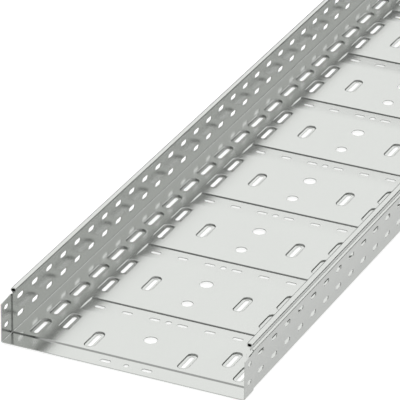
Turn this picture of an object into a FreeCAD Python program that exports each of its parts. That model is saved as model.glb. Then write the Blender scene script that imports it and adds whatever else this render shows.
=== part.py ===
# Perforated cable tray: one galvanised sheet, punched, pressed and roll-formed into a channel.
# Millimetres. X runs across the tray, Y along it from the coupling end to the plain end, +Z up.
# The origin is at the middle of the tray, on the plane that it lies on.
import FreeCAD, Part
import math
import os

# Overall sizes of the channel
tray_length = 2000.0
tray_width = 404.0
side_height = 80.0
sheet = 1.5
floor_bend = 2.0

# Rim: the wall top is folded inward and down again into a hook that is open below
rim_width = 10.0
rim_drop = 7.5
rim_bend = 2.0
lip_bend = 1.0

# Groove along the outer face of each wall, under the rim, that a cover clips into
groove_low = 68.0
groove_high = 75.0
groove_depth = 1.5
groove_bend = 1.0

# Coupling end: the last stretch is set outward so that the next tray slides into it
coupling_length = 31.5
coupling_offset = 1.5
coupling_run = 3.5
coupling_top_inner = 67.0
coupling_top_end = 64.0
rim_overhang = 5.0

# Slots in the walls
wall_slot_length = 20.0
wall_slot_width = 7.0
wall_slot_pitch = 48.6
wall_slot_first = 11.8
wall_slot_low = 20.5
wall_slot_rise = 30.6
end_margin = 4.0

# Holes that a fixing pattern uses have true arcs. The many like them have a few flats instead
true_wall_columns = (1, 2)
true_large_holes = 2
large_hole_sides = 10
small_hole_sides = 6
flat_end_cut = 2 - math.pi / 2

# Panels of the floor, each closed by a pressed cross rib
panel_pitch = 200.0
rib_first = 186.6
rib_half_length = 142.0
rib_run = 42.0
rib_depth = 1.5
rib_end_run = 1.5

# Drawn slots of the floor, whose edges are pressed downward
drawn_slot_length = 39.0
drawn_slot_width = 7.0
drawn_depth = 2.5
drawn_flare = 5.2
drawn_wall = 1.2
outer_row_x = 170.0
outer_row_first = 68.2
inner_row_x = 137.0
inner_row_first = 101.2
rows_per_panel = 3
middle_slot_x = 78.2
middle_slot_first = 67.4

# Plain holes of the floor
large_hole_r = 10.5
large_hole_first = 102.0
second_hole_r = 9.0
second_hole_first = 232.0
small_hole_r = 4.8
cross_slot_length = 17.0
cross_slot_width = 7.0
cross_slot_pitch = 46.8
cross_slots_each_side = 3
cross_row_first = 164.5
end_slot_x = 34.5
end_slot_y = 16.0
end_hole_r = 4.0

# Levels and lines that follow from the sizes above
start_y = -tray_length / 2
end_y = tray_length / 2
floor_under = max(coupling_offset, rib_depth, drawn_depth)
floor_top = floor_under + sheet
inner_x = tray_width / 2 - sheet
rim_inner_top = floor_under + side_height - sheet
over = 5.0


def vec(x, y, z):
    return FreeCAD.Vector(x, y, z)


def rounded_chain(corners, radii):
    """Edges of an open chain in the XZ plane, with a tangent arc at each inner corner."""
    edges = []
    here = corners[0]
    for before, corner, after, radius in zip(corners, corners[1:], corners[2:], radii):
        back = (before - corner).normalize()
        ahead = (after - corner).normalize()
        half_opening = back.getAngle(ahead) / 2
        reach = radius / math.tan(half_opening)
        arc_start = corner + back * reach
        arc_end = corner + ahead * reach
        bisector = (back + ahead).normalize()
        arc_middle = corner + bisector * (radius / math.sin(half_opening) - radius)
        edges.append(Part.makeLine(here, arc_start))
        edges.append(Part.Arc(arc_start, arc_middle, arc_end).toShape())
        here = arc_end
    edges.append(Part.makeLine(here, corners[-1]))
    return edges


def sheet_section(inner_corners, radii, y):
    """Closed section of the folded sheet, whose inner face runs through the given corners.
    Each radius belongs to the hollow side of its bend, which a groove has on the outer face."""
    inner = [vec(x, y, z) for x, z in inner_corners]
    runs = [(b - a).normalize() for a, b in zip(inner, inner[1:])]
    normals = [vec(run.z, 0, -run.x) for run in runs]
    outer = [inner[0] + normals[0] * sheet]
    for corner, n_in, n_out in zip(inner[1:], normals, normals[1:]):
        outer.append(corner + (n_in + n_out) * (sheet / (1 + n_in.dot(n_out))))
    outer.append(inner[-1] + normals[-1] * sheet)
    hollow_inside = [normal.dot(run) < 0 for normal, run in zip(normals, runs[1:])]
    inner_radii = [radius if hollow else radius + sheet for radius, hollow in zip(radii, hollow_inside)]
    outer_radii = [radius + sheet if hollow else radius for radius, hollow in zip(radii, hollow_inside)]
    edges = rounded_chain(inner, inner_radii)
    edges += rounded_chain(outer, outer_radii)
    edges.append(Part.makeLine(inner[0], outer[0]))
    edges.append(Part.makeLine(inner[-1], outer[-1]))
    return Part.Wire(Part.__sortEdges__(edges))


def mirrored(points):
    """The left half of a section that starts at its left end, followed by the right half."""
    return [(-x, z) for x, z in reversed(points)] + points


def rimmed_section(y):
    hook_x = inner_x + sheet - rim_width + sheet
    groove_x = inner_x - groove_depth
    half = [
        (inner_x, floor_top),
        (inner_x, floor_under + groove_low),
        (groove_x, floor_under + groove_low + groove_depth),
        (groove_x, floor_under + groove_high - groove_depth),
        (inner_x, floor_under + groove_high),
        (inner_x, rim_inner_top),
        (hook_x, rim_inner_top),
        (hook_x, rim_inner_top + sheet - rim_drop),
    ]
    radii = [floor_bend] + 4 * [groove_bend] + [rim_bend, lip_bend]
    return sheet_section(mirrored(half), radii[::-1] + radii, y)


def plain_section(offset, y):
    half = [(inner_x + offset, floor_top - offset), (inner_x + offset, floor_under + coupling_top_inner)]
    return sheet_section(mirrored(half), [floor_bend, floor_bend], y)


def channel():
    """The rimmed channel, its outset coupling end and the short joggle between the two."""
    step_y = start_y + coupling_length
    main_y = step_y + coupling_run
    main = Part.Face(rimmed_section(main_y)).extrude(vec(0, end_y - main_y, 0))
    joggle = Part.makeLoft([plain_section(coupling_offset, step_y), plain_section(0, main_y)], True, True)
    coupling = Part.Face(plain_section(coupling_offset, start_y)).extrude(vec(0, coupling_length, 0))
    return main.fuse([joggle, coupling.cut(coupling_top_cut()), rim_ends(main_y)])


def rim_ends(main_y):
    """The two rims with their grooves, which reach out over the joggle."""
    reach_x = tray_width / 2 + over
    first_y = main_y - rim_overhang
    rims = Part.Face(rimmed_section(first_y)).extrude(vec(0, rim_overhang, 0))
    corner = vec(-reach_x, first_y - over, -over)
    below = Part.makeBox(2 * reach_x, rim_overhang + 2 * over, floor_under + groove_low + over, corner)
    return rims.cut(below)


def coupling_top_cut():
    """Wedge that slopes the wall tops of the coupling end down to its edge."""
    reach_x = tray_width / 2 + coupling_offset + over
    profile = [
        vec(-reach_x, start_y, floor_under + coupling_top_end),
        vec(-reach_x, start_y + coupling_length, floor_under + coupling_top_inner),
        vec(-reach_x, start_y + coupling_length, floor_under + side_height + over),
        vec(-reach_x, start_y, floor_under + side_height + over),
    ]
    face = Part.Face(Part.makePolygon(profile + profile[:1]))
    return face.extrude(vec(2 * reach_x, 0, 0))


def arc_slot(length, width):
    """Outline of a slot along X with true round ends, about the origin."""
    straight = (length - width) / 2
    r = width / 2
    edges = [
        Part.makeLine(vec(-straight, -r, 0), vec(straight, -r, 0)),
        Part.Arc(vec(straight, -r, 0), vec(straight + r, 0, 0), vec(straight, r, 0)).toShape(),
        Part.makeLine(vec(straight, r, 0), vec(-straight, r, 0)),
        Part.Arc(vec(-straight, r, 0), vec(-straight - r, 0, 0), vec(-straight, -r, 0)).toShape(),
    ]
    return Part.Wire(edges)


def flat_slot_corners(length, width):
    """Corners of the same slot with two flats at each end, which encloses as much."""
    r = width / 2
    end = length / 2
    shoulder = end - r * flat_end_cut
    return [(end, 0), (shoulder, r), (-shoulder, r), (-end, 0), (-shoulder, -r), (shoulder, -r)]


def flat_slot(length, width):
    outline = [vec(x, y, 0) for x, y in flat_slot_corners(length, width)]
    return Part.makePolygon(outline + outline[:1])


def flat_circle(radius, sides):
    """A polygon that encloses as much as the circle."""
    turn = 2 * math.pi / sides
    reach = radius * math.sqrt(turn / math.sin(turn))
    angles = [turn * (i + 0.5) for i in range(sides)]
    outline = [vec(reach * math.cos(angle), reach * math.sin(angle), 0) for angle in angles]
    return Part.makePolygon(outline + outline[:1])


def placed(wire, x, y, z, along_y):
    """An outline drawn about the origin, turned along Y if need be and moved to its place."""
    if along_y:
        wire.rotate(vec(0, 0, 0), vec(0, 0, 1), 90)
    wire.translate(vec(x, y, z))
    return wire


def floor_punch(outline, x, y, along_y=False):
    face = Part.Face(placed(outline, x, y, -over, along_y))
    return face.extrude(vec(0, 0, floor_top + 2 * over))


def places_along(first, pitch, half_size):
    """Places from the coupling end that leave a margin of sheet at the plain end."""
    count = int((tray_length - end_margin - half_size - first) / pitch) + 1
    return [start_y + first + pitch * i for i in range(count)]


def wall_columns():
    """Places of the wall slots. The last pair meets those of the coupling that slides over it."""
    last = end_y - coupling_length + wall_slot_first
    columns = places_along(wall_slot_first, wall_slot_pitch, wall_slot_length / 2)
    return [y for y in columns if y < last - wall_slot_length - wall_slot_width] + [last]


def wall_slots():
    """One bar for each pair of slots, long enough to pass through both walls."""
    reach_x = tray_width / 2 + coupling_offset + over
    bars = []
    for index, y in enumerate(wall_columns()):
        outline = arc_slot if index in true_wall_columns else flat_slot
        for height in (wall_slot_low, wall_slot_low + wall_slot_rise):
            wire = placed(outline(wall_slot_length, wall_slot_width), 0, 0, 0, True)
            wire.rotate(vec(0, 0, 0), vec(0, 1, 0), 90)
            wire.translate(vec(-reach_x, y, floor_top + height))
            bars.append(Part.Face(wire).extrude(vec(2 * reach_x, 0, 0)))
    return bars


def drawn_slot_places():
    places = []
    row_pitch = panel_pitch / rows_per_panel
    for y in places_along(outer_row_first, row_pitch, drawn_slot_length / 2):
        places += [(side * outer_row_x, y) for side in (-1, 1)]
    inner_rows = places_along(inner_row_first, row_pitch, drawn_slot_length / 2)
    for index, y in enumerate(inner_rows):
        if index % rows_per_panel != 1:
            places += [(side * inner_row_x, y) for side in (-1, 1)]
    for y in places_along(middle_slot_first, panel_pitch, drawn_slot_length / 2):
        places += [(side * middle_slot_x, y) for side in (-1, 1)]
    return places


def flat_sided(outlines):
    """A solid from the outlines of its flat faces."""
    faces = [Part.Face(Part.makePolygon(outline + outline[:1])) for outline in outlines]
    return Part.makeSolid(Part.makeShell(faces))


def slot_ring(x, y, z, margin):
    """Corners of a drawn slot's outline along Y, grown by a margin."""
    corners = flat_slot_corners(drawn_slot_length + 2 * margin, drawn_slot_width + 2 * margin)
    return [vec(x - across, y + along, z) for along, across in corners]


def slot_funnel(x, y, low_margin, high_z):
    """Solid over a drawn slot that widens upward at the slope of the pressed edge."""
    low_z = floor_under - drawn_depth
    slope = drawn_flare / (sheet + drawn_depth)
    low = slot_ring(x, y, low_z, low_margin)
    high = slot_ring(x, y, high_z, low_margin + slope * (high_z - low_z))
    sides = [[low[i - 1], low[i], high[i], high[i - 1]] for i in range(len(low))]
    return flat_sided([low[::-1], high] + sides)


def drawn_collar(x, y):
    """Sheet that is pressed down round a drawn slot, from the middle of the floor's thickness."""
    return slot_funnel(x, y, drawn_wall, floor_under + sheet / 2)


def drawn_opening(x, y):
    """Opening of a drawn slot, which narrows from the top face to the pressed edge."""
    return slot_funnel(x, y, 0, floor_top)


def plain_holes():
    punches = []
    for index, y in enumerate(places_along(large_hole_first, panel_pitch, large_hole_r)):
        true_arc = Part.Wire(Part.makeCircle(large_hole_r))
        outline = true_arc if index < true_large_holes else flat_circle(large_hole_r, large_hole_sides)
        punches.append(floor_punch(outline, 0, y))
    for y in places_along(second_hole_first, panel_pitch, second_hole_r):
        punches.append(floor_punch(flat_circle(second_hole_r, large_hole_sides), 0, y))
    for y in places_along(cross_row_first, panel_pitch, cross_slot_width / 2):
        punches.append(floor_punch(flat_circle(small_hole_r, small_hole_sides), 0, y))
        for i in range(cross_slots_each_side):
            x = cross_slot_pitch * (i + 0.5)
            slots = [flat_slot(cross_slot_length, cross_slot_width) for side in (-1, 1)]
            punches += [floor_punch(slots[0], -x, y), floor_punch(slots[1], x, y)]
    return punches


def coupling_holes():
    y = start_y + end_slot_y
    left, right = [arc_slot(cross_slot_length, cross_slot_width) for side in (-1, 1)]
    middle = flat_circle(end_hole_r, small_hole_sides)
    return [floor_punch(left, -end_slot_x, y), floor_punch(right, end_slot_x, y), floor_punch(middle, 0, y)]


def pressed_wedge(riser_y, top_z, grow):
    """Hollow of a cross rib: a ramp down to an upright riser, with sloping ends."""
    high_x = rib_half_length + grow
    low_x = high_x - rib_end_run
    ramp_y = riser_y - rib_run
    face_y = riser_y + grow
    deep_z = top_z - rib_depth
    a, b = vec(-high_x, ramp_y, top_z), vec(high_x, ramp_y, top_z)
    c, d = vec(high_x, face_y, top_z), vec(-high_x, face_y, top_z)
    e, f = vec(low_x, face_y, deep_z), vec(-low_x, face_y, deep_z)
    return flat_sided([[a, b, c, d], [a, f, e, b], [b, e, c], [a, d, f], [c, e, f, d]])


def rib_places():
    """Risers of the ribs. The stretch that slides into the next coupling stays flat."""
    return [y for y in places_along(rib_first, panel_pitch, sheet) if y < end_y - coupling_length]


def cable_tray():
    ribs_below = [pressed_wedge(y, floor_under, sheet) for y in rib_places()]
    ribs_above = [pressed_wedge(y, floor_top, 0) for y in rib_places()]
    collars = [drawn_collar(*place) for place in drawn_slot_places()]
    cuts = ribs_above + wall_slots() + plain_holes() + coupling_holes()
    cuts += [drawn_opening(*place) for place in drawn_slot_places()]
    body = channel().fuse(ribs_below + collars)
    return body.cut(cuts).removeSplitter()


def main():
    os.makedirs("parts", exist_ok=True)
    tray = cable_tray()
    solid = tray.Solids[0] if len(tray.Solids) == 1 else tray
    print("solids", len(tray.Solids), "valid", tray.isValid(), "volume", round(tray.Volume))
    print("faces", len(tray.Faces), "box", tray.BoundBox)
    solid.exportStep("parts/cable_tray.step")


main()
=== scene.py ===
# Perforated cable tray of galvanised sheet, in metres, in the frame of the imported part
import bpy
import math
import numpy as np
from mathutils import Matrix, Vector


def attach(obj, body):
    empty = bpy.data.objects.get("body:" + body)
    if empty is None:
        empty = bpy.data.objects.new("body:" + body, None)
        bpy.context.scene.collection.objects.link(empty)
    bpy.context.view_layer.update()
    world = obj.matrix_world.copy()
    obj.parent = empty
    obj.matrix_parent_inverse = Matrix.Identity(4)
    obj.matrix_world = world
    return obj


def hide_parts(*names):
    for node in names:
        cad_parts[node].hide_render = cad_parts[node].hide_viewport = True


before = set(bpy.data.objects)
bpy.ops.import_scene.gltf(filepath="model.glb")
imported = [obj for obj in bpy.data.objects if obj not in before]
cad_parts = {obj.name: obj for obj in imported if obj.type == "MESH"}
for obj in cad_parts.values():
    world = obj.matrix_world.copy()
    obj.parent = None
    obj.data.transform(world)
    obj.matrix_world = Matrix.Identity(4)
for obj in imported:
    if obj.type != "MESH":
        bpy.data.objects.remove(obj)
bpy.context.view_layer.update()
mm = 0.001

# The folded sheet in millimetres: one profile across the tray, carried along it.
# y runs from the coupling end, z from the plane that the tray lies on.
sheetForm = {
    "length": 2000.0,
    "width": 404.0,
    "sideHeight": 80.0,
    "thickness": 1.5,
    "floorUnder": 2.5,          # height of the floor's lower face
    "floorBend": 1.0,
    "grooveCorners": [(0.0, 64.8), (3.7, 67.8), (3.7, 71.4), (0.0, 75.0)],  # depth, height over floorUnder
    "grooveBends": [1.5, 1.5, 1.0, 0.8],
    "rimWidth": 10.0,
    "rimDrop": 7.5,
    "rimBend": 3.0,
    "lipBend": 1.0,
    "lipReturn": 3.6,           # the lip turns back towards the wall and darkens the hollow of the rim
    "bendSteps": 8,             # flats in each right-angled bend
    "latticeEdge": 189.0,       # the floor's lattice ends at this distance from the middle
    "stripStart": 194.0,        # the bend's own strip starts at this one
    "stripTop": 3.6,            # and ends at this height over the floor
    "farLines": (200.0, 10),    # where the long lines beyond the coupling start, and how many there are
    "sharpAngle": 32.0,         # edges past this many degrees are shaded as edges
}

# The outset end that the next tray slides into
couplingForm = {
    "length": 31.5,
    "run": 3.5,
    "offset": 1.5,
    "easeRun": 0.3,             # the step's corners are eased over this run, by this share of the offset
    "easeShare": 0.035,
    "outFrom": 100.0,           # the floor stretches sideways from here to the bend's strip
    "sinkHeights": (5.0, 14.0),         # over the floor: the step down fades out between them
    "topInner": 67.0,
    "topEnd": 64.0,
    "rimOverhang": 5.0,
    "rimGap": 0.55,             # cut between the coupling's top and the rim over it
    "endLine": 16.0,            # a line across the middle of the coupling
    "stepLines": [-1.0, 0.0, 0.3, 1.7, 3.2, 3.5, 4.5],      # lines along the step, from its start
}

# Floor panels: pitch, pressed ribs and the places of the holes, as (x, y) or (radius, y) in the first panel
panelForm = {
    "pitch": 200.0,
    "ribRiser": 186.6,
    "ribRun": 42.0,
    "ribDepth": 1.5,
    "ribHalf": 142.0,
    "ribEndRun": 1.5,
    "riserLines": [             # place from the riser, and share of the rib's depth
        (-1.7, 0.96), (-0.5, 1.0), (-0.15, 0.88), (0.12, 0.12), (0.4, 0.0), (1.5, 0.0),
    ],
    "ribReach": 190.0,          # no rib beyond this distance from the middle
    "rowPitch": 200.0 / 3,
    "outerRow": (170.0, 68.2),
    "innerRow": (137.0, 101.2),
    "middleSlot": (78.2, 67.4),
    "largeHole": (10.5, 102.0),
    "secondHole": (9.0, 232.0),
    "smallHole": (4.8, 164.5),
    "crossRow": 164.5,
    "crossPitch": 46.8,
    "endSlot": (34.5, 16.0),
    "endHole": 4.0,
    "quietColumns": (30.0, 112.0),      # x of the two columns that hold cross slots only
    "rampLineOuter": 161.9,             # the ramp's first line passes between the outer row's slots here
    "riserLineOuter": (170.2, 0.8),     # and the riser's lines from here, this far apart
}

wallForm = {
    "slotPitch": 48.6,
    "slotFirst": 11.8,
    "couplingSlot": (13.0, 16.6),       # length and place of the shorter slots on the coupling
    "slotRows": (20.5, 51.1),           # heights over the floor
    "latticeStart": 5.0,                # over the floor
    "flatTop": 60.0,                    # over floorUnder: the rim's lattice starts there
}

# Rings round the outline of a hole: distance outward, then how far the inner and the outer face go down.
# A plain hole has a slight chamfer. A drawn slot bends down to a flat ledge round its hole.
plainRings = [(0.45, 0.0, 0.0), (0.0, 0.3, -0.25)]
drawnRings = [
    (6.5, 0.0, 0.0), (6.0, 0.08, 0.0), (5.5, 0.27, 0.1), (5.1, 0.6, 0.4),
    (4.87, 1.05, 0.9), (4.65, 1.6, 1.45), (4.38, 2.05, 1.95), (0.0, 2.05, 1.9),
]

# Kinds of hole: length and width, rings, and the margin of the lattice block round it
holeKinds = {
    "drawn": {"size": (39.0, 7.0), "rings": drawnRings, "margin": 6.9},
    "cross": {"size": (17.0, 7.0), "rings": plainRings, "margin": 2.0},
    "wall": {"size": (20.0, 7.0), "rings": plainRings, "margin": 2.2},
    "round": {"rings": plainRings, "margin": 2.5},
}

# A band is a row of lattice blocks across the floor, one to each of six columns from the middle outward.
# Blocks without a hole are given here: y of the middle, half width and half length. None stands for a hole.
# The block at the rib's end has its own lines across, below, in place of a half width.
quietBlocks = {
    "coupling": [None, None, (16.0, 9.0, 5.5), (16.0, 9.0, 5.5), (16.0, 10.0, 5.5), (16.0, 10.0, 5.5)],
    "firstSlots": [(66.0, 9.0, 12.0), (66.0, 9.0, 12.0), None, (66.0, 9.0, 12.0), (67.9, 10.0, 4.5), None],
    "largeHole": [None, (103.0, 8.0, 10.0), (106.0, 9.0, 9.0), (103.0, 9.0, 10.0), None, (101.5, 10.0, 4.0)],
    "secondSlots": [(134.0, 9.0, 9.0)] * 4 + [(135.5, 10.0, 7.5), None],
    "crossSlots": [None, None, None, None, (164.5, 0.0, 7.0), (166.5, 10.0, 3.0)],
    "thirdSlots": [(199.0, 9.0, 8.0)] * 4 + [(196.0, 9.0, 7.0), None],
    "secondHole": [None, (230.0, 9.0, 9.0), (228.0, 9.0, 8.0), (230.0, 9.0, 9.0), None, (234.9, 10.0, 4.5)],
}
ribEndLines = [-7.5, -2.1, -1.5, 0.0, 0.7]       # lines round the rib's end, from ribHalf
blockSteps = np.linspace(-1, 1, 5)               # the five lines of a block


def profileStations():
    # Half of the sheet's inner face: straight runs between corners, with a tangent arc in each corner.
    # Gives the developed distance, the point (x, z) and the direction to the outer face at each station.
    s = sheetForm
    under, t = s["floorUnder"], s["thickness"]
    innerX = s["width"] / 2 - t
    topIn = under + s["sideHeight"] - t
    hookX = innerX + t - s["rimWidth"] + t
    lipEnd = topIn + 2 * t - s["rimDrop"]
    corners = np.array(
        [(0.0, under + t), (innerX, under + t)]
        + [(innerX - depth, under + z) for depth, z in s["grooveCorners"]]
        + [(innerX, topIn), (hookX, topIn), (hookX, lipEnd), (hookX + s["lipReturn"], lipEnd)])
    radii = [s["floorBend"]] + s["grooveBends"] + [s["rimBend"], s["lipBend"], s["lipBend"]]
    runs = np.diff(corners, axis=0)
    runs /= np.linalg.norm(runs, axis=1)[:, None]
    headings = np.arctan2(runs[:, 1], runs[:, 0])
    points, normals = [corners[:1]], [np.array([[runs[0, 1], -runs[0, 0]]])]
    for k, bend in enumerate(radii):
        turn = (headings[k + 1] - headings[k] + math.pi) % (2 * math.pi) - math.pi
        radius = bend if turn > 0 else bend + t
        steps = max(2, round(s["bendSteps"] * abs(turn) / (math.pi / 2)))
        angle = headings[k] + turn * np.linspace(0, 1, steps + 1)
        out = np.stack([np.sin(angle), -np.cos(angle)], 1)
        side = math.copysign(1.0, turn)
        start = corners[k + 1] - runs[k] * radius * math.tan(abs(turn) / 2)
        centre = start - side * radius * out[0]
        points.append(centre + side * radius * out)
        normals.append(out)
    points.append(corners[-1:])
    normals.append(np.array([[runs[-1, 1], -runs[-1, 0]]]))
    points, normals = np.vstack(points), np.vstack(normals)
    along = np.concatenate([[0.0], np.cumsum(np.linalg.norm(np.diff(points, axis=0), axis=1))])
    return along, points, normals


stationC, stationP, stationN = profileStations()
floorTop = sheetForm["floorUnder"] + sheetForm["thickness"]
bendEnd = 1 + sheetForm["bendSteps"]                                  # station where the wall starts
stepY = couplingForm["length"] + np.array(couplingForm["stepLines"])
farStart, farCount = sheetForm["farLines"]
farY = np.linspace(farStart, sheetForm["length"], farCount)
print("profile of", len(stationC), "stations,", round(stationC[-1], 1), "mm from the middle to the lip")


def wallC(z):
    # Developed distance of a height on the flat of the wall
    return stationC[bendEnd] + (z - stationP[bendEnd, 1])


def couplingShare(y):
    # 1 on the outset end, 0 on the tray, and a straight slope between with eased corners
    c = couplingForm
    ease, share = c["easeRun"], c["easeShare"]
    places = [0.0, ease, c["run"] - ease, c["run"]]
    return np.interp(y - c["length"], places, [1.0, 1.0 - share, share, 0.0])


def ribDrop(x, y):
    # Ramp down to the riser, and back up over the riser's own lines; the ends rise over a short run
    p = panelForm
    riser = p["ribRiser"]
    places = [riser - p["ribRun"]] + [riser + d for d, share in p["riserLines"]]
    shares = [0.0] + [share for d, share in p["riserLines"]]
    ends = np.clip((p["ribHalf"] - np.abs(x)) / p["ribEndRun"], 0, 1)
    inPanel = np.mod(y, p["pitch"])
    hasRib = y - inPanel + riser < sheetForm["length"] - couplingForm["length"]
    return p["ribDepth"] * np.interp(inPanel, places, shares) * ends * hasRib


class SheetMesh:
    # Points of the developed sheet (c across, y along, drops of the two faces) and the faces between them
    def __init__(self):
        self.points = []
        self.count = 0
        self.faces = []

    def add(self, c, y, dropIn=0.0, dropOut=0.0):
        # New points; gives their numbers in the shape of c and y
        c, y, dropIn, dropOut = np.broadcast_arrays(c, y, dropIn, dropOut)
        ids = self.count + np.arange(c.size).reshape(c.shape)
        columns = [v.ravel() for v in (c, y, dropIn, dropOut)]
        self.points.append(np.stack(columns, 1).astype(float))
        self.count += c.size
        return ids

    def quads(self, a, b, c, d):
        # Faces by their four corners; a triangle gives its third corner twice
        self.faces.append(np.stack([v.ravel() for v in (a, b, c, d)], 1))

    def grid(self, ids, skip=None):
        # ids runs across the sheet, then along it
        a, b, c, d = ids[:-1, :-1], ids[1:, :-1], ids[1:, 1:], ids[:-1, 1:]
        keep = np.ones(a.shape, bool) if skip is None else ~skip
        self.quads(a[keep], b[keep], c[keep], d[keep])

    def zipper(self, low, high, yLow, yHigh):
        # Triangles between two lines that run along the sheet, each with points of its own
        midLow, midHigh = (yLow[1:] + yLow[:-1]) / 2, (yHigh[1:] + yHigh[:-1]) / 2
        k = np.searchsorted(midHigh, midLow, side="left")
        self.quads(low[:-1], high[k], low[1:], low[1:])
        k = np.searchsorted(midLow, midHigh, side="right")
        self.quads(high[:-1], high[1:], low[k], low[k])


# Sixteen places round a block of four by four cells, matched to places on a slot's outline.
# Each is (column, row, which end of the slot, angle in degrees) for a slot that runs along y.
blockRing = [
    (4, 1, -1, 0), (4, 2, 0, 0), (4, 3, 1, 0), (4, 4, 1, 30), (3, 4, 1, 60), (2, 4, 1, 90), (1, 4, 1, 120),
    (0, 4, 1, 150), (0, 3, 1, 180), (0, 2, 0, 180), (0, 1, -1, 180), (0, 0, -1, 210), (1, 0, -1, 240),
    (2, 0, -1, 270), (3, 0, -1, 300), (4, 0, -1, 330),
]
ringColumn, ringRow, ringEnd, ringAngle = (np.array(v) for v in zip(*blockRing))


def holeOutline(kind, size):
    # Stadium: a half circle round each end of a straight part. A round hole has no straight part.
    # Gives the radius, the end of the straight part and the direction outward at the sixteen places.
    length, width = size
    if kind == "round":
        angle = (np.arange(16) - 1) * math.pi / 8
        ends = np.zeros(16)
    else:
        angle = np.radians(ringAngle)
        ends = ringEnd * (length - width) / 2
    return width / 2, ends, np.stack([np.cos(angle), np.sin(angle)], 1)


def punch(mesh, block, centre, kind, size, alongY=True):
    # Rings from a block's edge to the outline of its hole.
    # block is the ids of its 5 x 5 points, the first index across the sheet.
    radius, ends, turn = holeOutline(kind, size)
    crosswise = kind != "round" and not alongY
    previous = block[ringRow, ringColumn][::-1] if crosswise else block[ringColumn, ringRow]
    for outward, dropIn, dropOut in holeKinds[kind]["rings"]:
        offset = (radius + outward) * turn
        offset[:, 1] += ends
        if crosswise:
            offset = offset[::-1, ::-1]
        place = centre + offset
        ring = mesh.add(place[:, 0], place[:, 1], dropIn, dropOut)
        mesh.quads(previous, np.roll(previous, -1), np.roll(ring, -1), ring)
        previous = ring


def holeSize(kind, radius):
    # Length and width
    return (2 * radius, 2 * radius) if kind == "round" else holeKinds[kind]["size"]


def floorBand(name, origin, holes):
    # One band of the floor: x and y of the five lines of each column's block, and the holes by column
    p = panelForm
    quietInner, quietOuter = p["quietColumns"]
    columnX = [0.0, quietInner, p["middleSlot"][0], quietOuter, p["innerRow"][0], p["outerRow"][0]]
    xs, ys = [], []
    for k, quiet in enumerate(quietBlocks[name]):
        if k in holes:
            kind, x, y, radius = holes[k]
            length, width = holeSize(kind, radius)
            margin = holeKinds[kind]["margin"]
            halfX, halfY = width / 2 + margin, length / 2 + margin
            if kind == "cross":
                halfX, halfY = halfY, halfX
        else:
            x = columnX[k]
            y, halfX, halfY = quiet
        xs.append(x + halfX * blockSteps)
        ys.append(origin + y + halfY * blockSteps)
    if name == "crossSlots":
        xs[4] = p["ribHalf"] + np.array(ribEndLines)
    return name, origin, np.array(xs), np.array(ys), holes


def bandPlan():
    # The coupling's band, then six to a panel. The last two reach into the next panel, so the end has none.
    p = panelForm
    row = p["rowPitch"]
    outerX, outerY = p["outerRow"]
    innerX, innerY = p["innerRow"]
    middleX, middleY = p["middleSlot"]
    largeR, largeY = p["largeHole"]
    secondR, secondY = p["secondHole"]
    smallR, smallY = p["smallHole"]
    endX, endY = p["endSlot"]
    crossX = [p["crossPitch"] * (k + 0.5) for k in range(3)]
    couplingHoles = {0: ("round", 0.0, endY, p["endHole"]), 1: ("cross", endX, endY, 0.0)}
    panelHoles = {
        "firstSlots": {2: ("drawn", middleX, middleY, 0.0), 5: ("drawn", outerX, outerY, 0.0)},
        "largeHole": {0: ("round", 0.0, largeY, largeR), 4: ("drawn", innerX, innerY, 0.0)},
        "secondSlots": {5: ("drawn", outerX, outerY + row, 0.0)},
        "crossSlots": {0: ("round", 0.0, smallY, smallR)},
        "thirdSlots": {5: ("drawn", outerX, outerY + 2 * row, 0.0)},
        "secondHole": {0: ("round", 0.0, secondY, secondR), 4: ("drawn", innerX, innerY + 2 * row, 0.0)},
    }
    panelHoles["crossSlots"].update({1 + k: ("cross", x, p["crossRow"], 0.0) for k, x in enumerate(crossX)})
    bands = [floorBand("coupling", 0.0, couplingHoles)]
    panels = int(sheetForm["length"] / p["pitch"])
    for k in range(panels):
        for name, holes in panelHoles.items():
            if k < panels - 1 or name not in ("thirdSlots", "secondHole"):
                bands.append(floorBand(name, k * p["pitch"], holes))
    return bands


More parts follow.
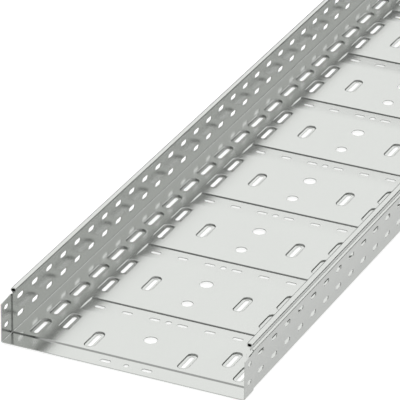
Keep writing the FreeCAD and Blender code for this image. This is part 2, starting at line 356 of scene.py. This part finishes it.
def floorSheet(mesh):
    # The flat floor: a lattice whose lines close up round each hole, with more lines at the step and ribs.
    # Every line across has 57 points: five to each of the eleven columns, and one at each edge.
    p, c = panelForm, couplingForm
    length, edge = sheetForm["length"], sheetForm["latticeEdge"]
    columns = np.array([5, 4, 3, 2, 1, 0, 1, 2, 3, 4, 5])
    lines = []          # x and y of each line
    marks = []          # number of each band's first line

    def acrossLine(xs):
        return np.concatenate([[-edge], -xs[1:].ravel()[::-1], xs.ravel(), [edge]])

    def addLine(x, columnY):
        v = np.repeat(columnY[columns], 5)
        lines.append((x, np.concatenate([v[:1], v, v[-1:]])))

    def extraLine(x, y, outerY=None):
        columnY = np.full(6, float(y))
        if outerY is not None:
            columnY[5] = outerY
        addLine(x, columnY)

    bands = bandPlan()
    extraLine(acrossLine(bands[0][2]), 0.0)
    for name, origin, xs, ys, holes in bands:
        x = acrossLine(xs)
        riser = origin + p["ribRiser"]
        if name == "crossSlots":
            extraLine(x, riser - p["ribRun"], origin + p["rampLineOuter"])
        marks.append(len(lines))
        for row in ys.T:
            addLine(x, row)
        if name == "coupling":
            for y in stepY:
                extraLine(x, y)
        if name == "crossSlots" and riser < length - c["length"]:
            outerStart, outerStep = p["riserLineOuter"]
            for k, (d, share) in enumerate(p["riserLines"]):
                extraLine(x, riser + d, origin + outerStart + outerStep * k)
    extraLine(lines[-1][0], length)
    x = np.stack([line[0] for line in lines], 1)
    y = np.stack([line[1] for line in lines], 1)
    ids = mesh.add(x, y)
    skip = np.zeros((x.shape[0] - 1, x.shape[1] - 1), bool)
    for mark, (name, origin, xs, ys, holes) in zip(marks, bands):
        for column, (kind, holeX, holeY, radius) in holes.items():
            for side in ([1] if column == 0 else [-1, 1]):
                i = 1 + 5 * (5 + side * column)
                skip[i:i + 4, mark:mark + 4] = True
                centre = np.array([side * holeX, origin + holeY])
                block = ids[i:i + 5, mark:mark + 5]
                punch(mesh, block, centre, kind, holeSize(kind, radius), kind == "drawn")
    mesh.grid(ids, skip)
    return ids, y


def wallSheet(mesh, side):
    # One flat wall with its two rows of slots, from above the floor bend to over the upper row
    w, c = wallForm, couplingForm
    length = sheetForm["length"]
    slotL, slotW = holeKinds["wall"]["size"]
    margin = holeKinds["wall"]["margin"]
    last = length - c["length"] + w["slotFirst"]
    places = w["slotFirst"] + w["slotPitch"] * np.arange(int(length / w["slotPitch"]))
    places = np.append(places[places < last - slotL - slotW], last)
    lengths = np.full(len(places), slotL)
    lengths[0], places[0] = w["couplingSlot"]
    blockY = places[:, None] + blockSteps * (lengths[:, None] / 2 + margin)
    yLines = np.concatenate([[0.0], blockY[0], stepY, blockY[1:].ravel(), [length]])
    marks = np.concatenate([[1], 6 + len(stepY) + 5 * np.arange(len(places) - 1)])
    halfZ = slotW / 2 + margin
    rows = [floorTop + z for z in w["slotRows"]]
    heights = [floorTop + w["latticeStart"]] + [z + t * halfZ for z in rows for t in blockSteps]
    cLines = np.array([wallC(z) for z in heights])
    if side < 0:
        cLines = -cLines[::-1]
    ids = mesh.add(cLines[:, None], yLines[None, :])
    skip = np.zeros((len(cLines) - 1, len(yLines) - 1), bool)
    for k, z in enumerate(rows):
        i = 1 + 5 * k if side > 0 else 5 * (1 - k)
        for mark, y, slotLength in zip(marks, places, lengths):
            skip[i:i + 4, mark:mark + 4] = True
            block = ids[i:i + 5, mark:mark + 5]
            punch(mesh, block, np.array([side * wallC(z), y]), "wall", (slotLength, slotW))
    mesh.grid(ids, skip)
    return ids, yLines


def bendSheet(mesh, side):
    # The bend between floor and wall, a strip that runs straight along the tray
    yLines = np.concatenate([[0.0, couplingForm["endLine"]], stepY, farY])
    stripEnd = wallC(floorTop + sheetForm["stripTop"])
    cLines = np.concatenate([[sheetForm["stripStart"]], stationC[1:bendEnd + 1], [stripEnd]])
    if side < 0:
        cLines = -cLines[::-1]
    ids = mesh.add(cLines[:, None], yLines[None, :])
    mesh.grid(ids)
    return ids, yLines


def rimSheet(mesh, side):
    # From above the slots to the lip: one lattice, left out where the coupling end is cut away.
    # Below the cut its lines close up towards the end, as the coupling's top slopes down.
    c, under = couplingForm, sheetForm["floorUnder"]
    start, cut = wallC(under + wallForm["flatTop"]), wallC(under + c["topInner"])
    gapEnd = cut + c["rimGap"]
    mainY = c["length"] + c["run"]
    rimY = mainY - c["rimOverhang"]
    yLines = np.sort(np.concatenate([[0.0, c["endLine"], rimY], stepY, farY]))
    cLines = np.sort(np.concatenate([[start, cut, gapEnd], stationC[stationC > start]]))
    cGrid = np.repeat(cLines[:, None], len(yLines), 1)
    top = c["topEnd"] + (c["topInner"] - c["topEnd"]) * np.minimum(yLines / c["length"], 1)
    low = cLines <= cut
    cGrid[low] = start + (cGrid[low] - start) * (wallC(under + top) - start) / (cut - start)
    high, inGap = cLines[:-1] >= cut, (cLines[:-1] >= cut) & (cLines[1:] <= gapEnd)
    skip = high[:, None] & (yLines[:-1] < rimY) | inGap[:, None] & (yLines[:-1] < mainY)
    if side < 0:
        cGrid, skip = -cGrid[::-1], skip[::-1]
    ids = mesh.add(cGrid, yLines[None, :])
    mesh.grid(ids, skip)
    return ids, yLines


def buildSheet():
    # Floor, then for each side its bend, wall and rim, each joined to the next by a zipper
    mesh = SheetMesh()
    floorIds, floorY = floorSheet(mesh)
    print("floor lattice with its holes,", mesh.count, "points")
    for side in (-1, 1):
        bend, bendY = bendSheet(mesh, side)
        wall, wallY = wallSheet(mesh, side)
        rim, rimY = rimSheet(mesh, side)
        if side > 0:
            mesh.zipper(floorIds[-1], bend[0], floorY[-1], bendY)
            mesh.zipper(bend[-1], wall[0], bendY, wallY)
            mesh.zipper(wall[-1], rim[0], wallY, rimY)
        else:
            mesh.zipper(bend[-1], floorIds[0], bendY, floorY[0])
            mesh.zipper(wall[-1], bend[0], wallY, bendY)
            mesh.zipper(rim[-1], wall[0], rimY, wallY)
    print("walls and rims,", mesh.count, "points in all")
    return mesh


def foldSheet(mesh):
    # Places of both faces: the profile's point and normal at each distance across, and y as it is.
    # The coupling is set out and down by its share of the offset. The ribs' drop is taken off the height.
    s, c = sheetForm, couplingForm
    across, y, dropIn, dropOut = np.concatenate(mesh.points).T
    reach = np.abs(across)
    half = np.where(across < 0, -1.0, 1.0)
    px, pz, qx, qz = (np.interp(reach, stationC, values) for values in (*stationP.T, *stationN.T))
    underCut = reach < wallC(s["floorUnder"] + c["topInner"]) + c["rimGap"] / 2
    # The coupling's wall is flat right up to its top, without the groove
    flat = couplingShare(y) * underCut * (reach > stationC[bendEnd])
    wallX, wallZ = stationP[bendEnd]
    x = half * (px + flat * (wallX - px))
    z = pz + flat * (wallZ + reach - stationC[bendEnd] - pz)
    nx, nz = half * (qx + flat * (1 - qx)), qz * (1 - flat)
    share = couplingShare(y) * c["offset"]
    outShare = np.interp(reach, [c["outFrom"], s["stripStart"]], [0.0, 1.0])
    downShare = np.interp(z - floorTop, c["sinkHeights"], [1.0, 0.0])
    x = x + half * share * outShare * underCut
    z = z - share * downShare
    pressed = np.where(reach < panelForm["ribReach"], ribDrop(across, y), 0.0)
    thick = s["thickness"] + dropOut
    yMiddle = y - s["length"] / 2
    inner = np.stack([x + nx * dropIn, yMiddle, z + nz * dropIn - pressed], 1)
    outer = np.stack([x + nx * thick, yMiddle, z + nz * thick - pressed], 1)
    return inner * mm, outer * mm


def closedSheet(mesh):
    # Inner faces, the same faces turned over on the outer side, and a wall along every open edge
    inner, outer = foldSheet(mesh)
    used, faces = np.unique(np.vstack(mesh.faces), return_inverse=True)
    faces = faces.reshape(-1, 4)
    inner, outer = inner[used], outer[used]
    n = len(used)
    isTri = faces[:, 2] == faces[:, 3]
    quads, tris = faces[~isTri], faces[isTri][:, :3]
    edges = [np.stack([quads[:, k], quads[:, (k + 1) % 4]], 1) for k in range(4)]
    edges += [np.stack([tris[:, k], tris[:, (k + 1) % 3]], 1) for k in range(3)]
    edges = np.vstack(edges)
    isOpen = ~np.isin(edges[:, 0] * n + edges[:, 1], edges[:, 1] * n + edges[:, 0])
    a, b = edges[isOpen].T
    walls = np.stack([b, a, a + n, b + n], 1)
    allQuads = np.vstack([quads, quads[:, ::-1] + n, walls])
    allTris = np.vstack([tris, tris[:, ::-1] + n])
    return np.vstack([inner, outer]), allQuads, allTris


def makeMesh(name, points, quads, tris):
    # One mesh from whole arrays of points, quads and triangles
    data = bpy.data.meshes.new(name)
    data.vertices.add(len(points))
    data.vertices.foreach_set("co", points.astype(np.float32).ravel())
    data.loops.add(quads.size + tris.size)
    data.loops.foreach_set("vertex_index", np.concatenate([quads.ravel(), tris.ravel()]).astype(np.int32))
    data.polygons.add(len(quads) + len(tris))
    starts = np.concatenate([4 * np.arange(len(quads)), quads.size + 3 * np.arange(len(tris))])
    data.polygons.foreach_set("loop_start", starts.astype(np.int32))
    data.update(calc_edges=True)
    data.validate()
    obj = bpy.data.objects.new(name, data)
    bpy.context.scene.collection.objects.link(obj)
    return obj


def makeTray():
    points, quads, tris = closedSheet(buildSheet())
    tray = makeMesh("punchedTray", points, quads, tris)
    tray.data.shade_smooth()
    tray.data.set_sharp_from_angle(angle=math.radians(sheetForm["sharpAngle"]))
    print("tray mesh", len(points), "points", 2 * len(quads) + len(tris), "triangles")
    return tray


class Sock:
    # Wraps a value socket, so that sums and products read as Python
    def __init__(self, tree, socket):
        self.tree, self.socket = tree, socket

    def maths(self, operation, a, b):
        node = self.tree.add("ShaderNodeMath", {"operation": operation}, {0: a, 1: b})
        return Sock(self.tree, node.outputs[0])

    def __add__(self, other):
        return self.maths("ADD", self, other)

    def __radd__(self, other):
        return self.maths("ADD", other, self)

    def __sub__(self, other):
        return self.maths("SUBTRACT", self, other)

    def __rsub__(self, other):
        return self.maths("SUBTRACT", other, self)

    def __mul__(self, other):
        return self.maths("MULTIPLY", self, other)

    def __rmul__(self, other):
        return self.maths("MULTIPLY", other, self)


class NodeTree:
    # Nodes and links of a material or world. Settings are set first, then the sockets' values or links.
    def __init__(self, owner):
        owner.use_nodes = True
        self.nodes, self.links = owner.node_tree.nodes, owner.node_tree.links
        self.nodes.clear()

    def add(self, kind, settings=None, inputs=None):
        node = self.nodes.new(kind)
        for name, value in (settings or {}).items():
            setattr(node, name, value)
        for name, value in (inputs or {}).items():
            if isinstance(value, Sock):
                self.links.new(value.socket, node.inputs[name])
            elif isinstance(value, bpy.types.NodeSocket):
                self.links.new(value, node.inputs[name])
            else:
                node.inputs[name].default_value = value
        return node


# Satin zinc: long streaks from rolling, soft clouds and a small spangle, all faint
zincLook = {
    "light": (0.425, 0.435, 0.420, 1),
    "dark": (0.398, 0.408, 0.394, 1),
    "roughness": 0.18,
    "roughSpread": 0.03,
    "spangleScale": 90.0,
    "streakStretch": (14.0, 1.1, 14.0),
    "streakNoise": {"Scale": 4.0, "Detail": 5.0, "Roughness": 0.55},
    "cloudNoise": {"Scale": 9.0, "Detail": 3.0},
    "fineNoise": {"Scale": 700.0, "Detail": 2.0},
    "toneShares": (0.45, 0.35, 0.2),    # of streak, cloud and spangle in the colour
    "roughShares": (0.6, 0.4),          # of streak and spangle in the roughness
    "bump": 0.012,
    "bumpDistance": 0.0004,
}
mixColourA, mixColourB, mixColourOut = 6, 7, 2      # colour sockets of a Mix node


def galvanisedMaterial():
    look = zincLook
    material = bpy.data.materials.new("galvanisedSheet")
    tree = NodeTree(material)
    coords = tree.add("ShaderNodeTexCoord").outputs["Object"]

    def noise(vector, settings):
        return tree.add("ShaderNodeTexNoise", None, {"Vector": vector, **settings}).outputs["Fac"]

    stretched = tree.add("ShaderNodeMapping", None, {"Vector": coords, "Scale": look["streakStretch"]})
    streak = Sock(tree, noise(stretched.outputs[0], look["streakNoise"]))
    cloud = Sock(tree, noise(coords, look["cloudNoise"]))
    cells = tree.add("ShaderNodeTexVoronoi", {"feature": "F1"}, {
        "Vector": coords, "Scale": look["spangleScale"]})
    spangle = tree.add("ShaderNodeSeparateColor", None, {"Color": cells.outputs["Color"]})
    spangle = Sock(tree, spangle.outputs["Red"])
    streakTone, cloudTone, spangleTone = look["toneShares"]
    tone = streak * streakTone + cloud * cloudTone + spangle * spangleTone
    colour = tree.add("ShaderNodeMix", {"data_type": "RGBA"}, {
        "Factor": tone, mixColourA: look["dark"], mixColourB: look["light"]})
    streakRough, spangleRough = look["roughShares"]
    grain = streak * streakRough + spangle * spangleRough
    rough = look["roughness"] + (grain - 0.5) * look["roughSpread"]
    bump = tree.add("ShaderNodeBump", None, {
        "Strength": look["bump"], "Distance": look["bumpDistance"],
        "Height": noise(coords, look["fineNoise"])})
    shader = tree.add("ShaderNodeBsdfPrincipled", None, {
        "Base Color": colour.outputs[mixColourOut], "Metallic": 1.0, "Roughness": rough,
        "Normal": bump.outputs[0]})
    tree.add("ShaderNodeOutputMaterial", None, {"Surface": shader.outputs[0]})
    return material


# The plain floor, the soft panels of light and the camera, in metres and degrees
studio = {
    "floorHalf": 30.0,
    "floorLevel": -0.0005,
    "floorColour": (0.8, 0.8, 0.8, 1),
    "floorRoughness": 0.9,
    "floorGlow": 0.70,
    "worldGlow": 0.07,
    "panels": [      # name, place, turn, size, glow
        ("backLeft", (-8.0, 12.0, 10.4), (-90, 0, 0), (16.0, 12.0), 1.66),
        ("backRight", (6.2, 12.0, 10.4), (-90, 0, 0), (12.4, 12.0), 1.74),
        ("overhead", (-1.0, 1.0, 6.5), (0, 0, 0), (8.0, 6.5), 0.75),
        ("front", (0.0, -9.0, 4.5), (90, 0, 0), (30.0, 8.0), 0.5),
        ("left", (-14.0, 0.0, 5.0), (0, -90, 0), (9.0, 18.0), 0.9),
        ("right", (14.0, 0.0, 5.0), (0, 90, 0), (9.0, 18.0), 0.9),
    ],
    "cameraPlace": (2.4033, -5.9307, 3.0838),
    "cameraAzimuth": 24.784,
    "cameraElevation": 26.988,
    "cameraRoll": 0.676,
    "focalPixels": 4189.2,
    "imagePixels": 400.0,
    "sensorWidth": 36.0,
    "clipEnd": 100.0,
}


def makeFloor():
    h, z = studio["floorHalf"], studio["floorLevel"]
    data = bpy.data.meshes.new("studioFloor")
    data.from_pydata([(-h, -h, z), (h, -h, z), (h, h, z), (-h, h, z)], [], [(0, 1, 2, 3)])
    floor = bpy.data.objects.new("studioFloor", data)
    bpy.context.scene.collection.objects.link(floor)
    material = bpy.data.materials.new("paleFloor")
    tree = NodeTree(material)
    shader = tree.add("ShaderNodeBsdfPrincipled", None, {
        "Base Color": studio["floorColour"], "Roughness": studio["floorRoughness"],
        "Specular IOR Level": 0.0, "Emission Color": (1, 1, 1, 1), "Emission Strength": studio["floorGlow"]})
    tree.add("ShaderNodeOutputMaterial", None, {"Surface": shader.outputs[0]})
    data.materials.append(material)


def makeLight():
    # A panel's power is its glow times pi times its area, so that glow is the brightness seen in it
    bpy.context.scene.view_settings.view_transform = "Standard"
    world = bpy.data.worlds.new("studioWorld")
    bpy.context.scene.world = world
    tree = NodeTree(world)
    glow = tree.add("ShaderNodeBackground", None, {"Color": (1, 1, 1, 1), "Strength": studio["worldGlow"]})
    tree.add("ShaderNodeOutputWorld", None, {"Surface": glow.outputs[0]})
    for name, place, turn, size, glow in studio["panels"]:
        lamp = bpy.data.lights.new(name, "AREA")
        lamp.shape = "RECTANGLE"
        lamp.size, lamp.size_y = size
        lamp.energy = glow * math.pi * size[0] * size[1]
        obj = bpy.data.objects.new(name, lamp)
        obj.location = place
        obj.rotation_euler = [math.radians(v) for v in turn]
        bpy.context.scene.collection.objects.link(obj)


def makeCamera():
    # Looks along its azimuth, down by its elevation, and is rolled about that line
    az, el = math.radians(studio["cameraAzimuth"]), math.radians(studio["cameraElevation"])
    ahead = Vector((-math.sin(az) * math.cos(el), math.cos(az) * math.cos(el), -math.sin(el)))
    level = Vector((math.cos(az), math.sin(az), 0))
    up = level.cross(ahead)
    roll = math.radians(studio["cameraRoll"])
    right = level * math.cos(roll) + up * math.sin(roll)
    up = right.cross(ahead)
    turn = Matrix((right, up, -ahead)).transposed().to_4x4()
    data = bpy.data.cameras.new("photoCamera")
    data.sensor_width = studio["sensorWidth"]
    data.lens = studio["focalPixels"] / studio["imagePixels"] * data.sensor_width
    data.clip_end = studio["clipEnd"]
    camera = bpy.data.objects.new("photoCamera", data)
    camera.matrix_world = Matrix.Translation(studio["cameraPlace"]) @ turn
    bpy.context.scene.collection.objects.link(camera)
    bpy.context.scene.camera = camera


tray = makeTray()
tray.data.materials.append(galvanisedMaterial())
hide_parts("cable_tray")
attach(tray, "root")
print("tray in its zinc")
makeFloor()
makeLight()
makeCamera()
print("floor, light and camera ready")
